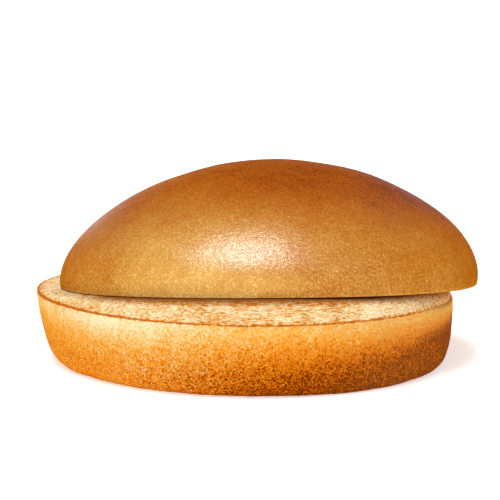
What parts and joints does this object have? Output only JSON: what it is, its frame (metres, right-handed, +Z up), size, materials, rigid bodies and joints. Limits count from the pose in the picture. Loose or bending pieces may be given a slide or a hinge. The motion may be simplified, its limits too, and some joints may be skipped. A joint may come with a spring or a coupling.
{
  "type": "brioche bun",
  "caption": "Round brioche burger bun sliced across: a flat-bottomed heel with its crumb face up and a glossy domed crown set down on it slightly off centre.",
  "frame": {"origin": "on the flat face the bun rests on, right under the middle of the heel's rim", "axes": "+Z up through the crown, -Y towards the front where the crumb face shows, +X to the right, the side the crown is shifted to"},
  "size_m": [0.1118, 0.1119, 0.0492],
  "materials": {
    "heel_crust": "matte",
    "crown_crust": "satin"
  },
  "bodies": {
    "root": {"heel": "heel_crust", "crown": "crown_crust"}
  },
  "joints": []
}
